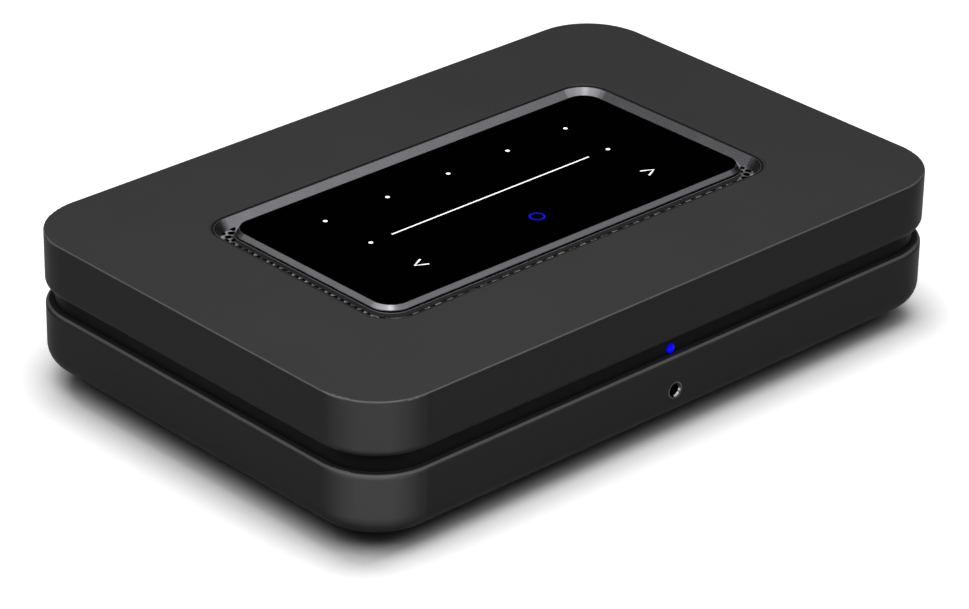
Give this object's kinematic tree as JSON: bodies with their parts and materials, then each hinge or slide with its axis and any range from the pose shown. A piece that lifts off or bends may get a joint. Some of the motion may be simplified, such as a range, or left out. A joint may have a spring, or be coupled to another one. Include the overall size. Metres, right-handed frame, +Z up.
{
  "type": "network music streamer",
  "caption": "Low rounded network music streamer in two stacked dark shells, with a lit touch panel in a vented well on top, a front headphone socket and a rear bay of audio and data sockets.",
  "frame": {"origin": "middle of the footprint on the table, under the feet", "axes": "+X along the front to the right, -Y out of the front, +Z up"},
  "size_m": [0.22, 0.146, 0.046],
  "materials": {
    "shell_plastic": "soft-touch charcoal",
    "band_plastic": "matt black",
    "panel_plastic": "matt black",
    "foot_rubber": "matt",
    "zinc_steel": "zinc plated",
    "satin_metal": "satin anodised grey",
    "grille_metal": "dark painted sheet",
    "black_glass": "polished, printed black behind",
    "icon_light": "lit white",
    "blue_light": "lit blue",
    "white_plastic": "moulded",
    "board_laminate": "solder mask",
    "flat_cable": "film",
    "black_plastic": "moulded black",
    "nickel": "nickel plated",
    "gold_plate": "gold plated",
    "aluminium": "mill finish",
    "pad_rubber": "soft",
    "antenna_film": "film",
    "wire_cover": "insulated",
    "capacitor_sleeve": "sleeve",
    "filter_case": "moulded yellow",
    "transformer_tape": "wound tape"
  },
  "bodies": {
    "case": {"upper_shell": "shell_plastic", "lower_shell": "shell_plastic", "mid_band": "band_plastic", "rear_panel": "panel_plastic", "rubber_feet": "foot_rubber", "case_screws": "zinc_steel", "bezel_ring": "satin_metal", "vent_grille": "grille_metal", "touch_tray": "panel_plastic", "touch_frame": "satin_metal", "touch_glass": "black_glass", "touch_icons": "icon_light", "play_ring": "blue_light", "light_mask": "white_plastic", "touch_leds": "icon_light", "touch_board": "board_laminate", "touch_flex": "flat_cable", "front_board": "board_laminate", "headphone_socket": "black_plastic", "headphone_ferrule": "nickel", "status_led": "icon_light", "status_light_pipe": "blue_light", "ir_receiver": "black_plastic", "front_flex": "flat_cable", "main_board": "board_laminate", "board_screws": "zinc_steel", "processor": "black_plastic", "thermal_pad": "pad_rubber", "heat_sink": "aluminium", "heat_sink_pins": "white_plastic", "wireless_module": "nickel", "antennas": "antenna_film", "antenna_leads": "wire_cover", "board_chips": "black_plastic", "board_capacitors": "capacitor_sleeve", "board_coils": "black_plastic", "board_connectors": "white_plastic", "phono_blocks": "black_plastic", "phono_barrels": "gold_plate", "phono_inserts": "white_plastic", "rear_panel_screws": "zinc_steel", "optical_socket": "black_plastic", "shutter_spring": "zinc_steel", "mini_sockets": "black_plastic", "hdmi_socket": "nickel", "usb_socket": "nickel", "lan_socket": "nickel", "mains_inlet": "black_plastic", "inlet_pins": "nickel", "inlet_leads": "wire_cover", "power_board": "board_laminate", "mains_filter": "filter_case", "power_capacitors": "capacitor_sleeve", "power_transformer": "transformer_tape", "power_heat_sink": "aluminium", "power_harness": "wire_cover"},
    "shutter": {"optical_shutter": "black_plastic"}
  },
  "joints": [
    {"name": "shutter_hinge", "type": "hinge", "parent": "case", "child": "shutter", "pos_m": [0.02715, 0.06245, 0.0254], "axis": [-1, 0, 0], "range_deg": [0, 80], "stiffness_Nm_per_rad": 0.0004, "springref_deg": -20.05, "deforming": ["shutter_spring"]}
  ]
}
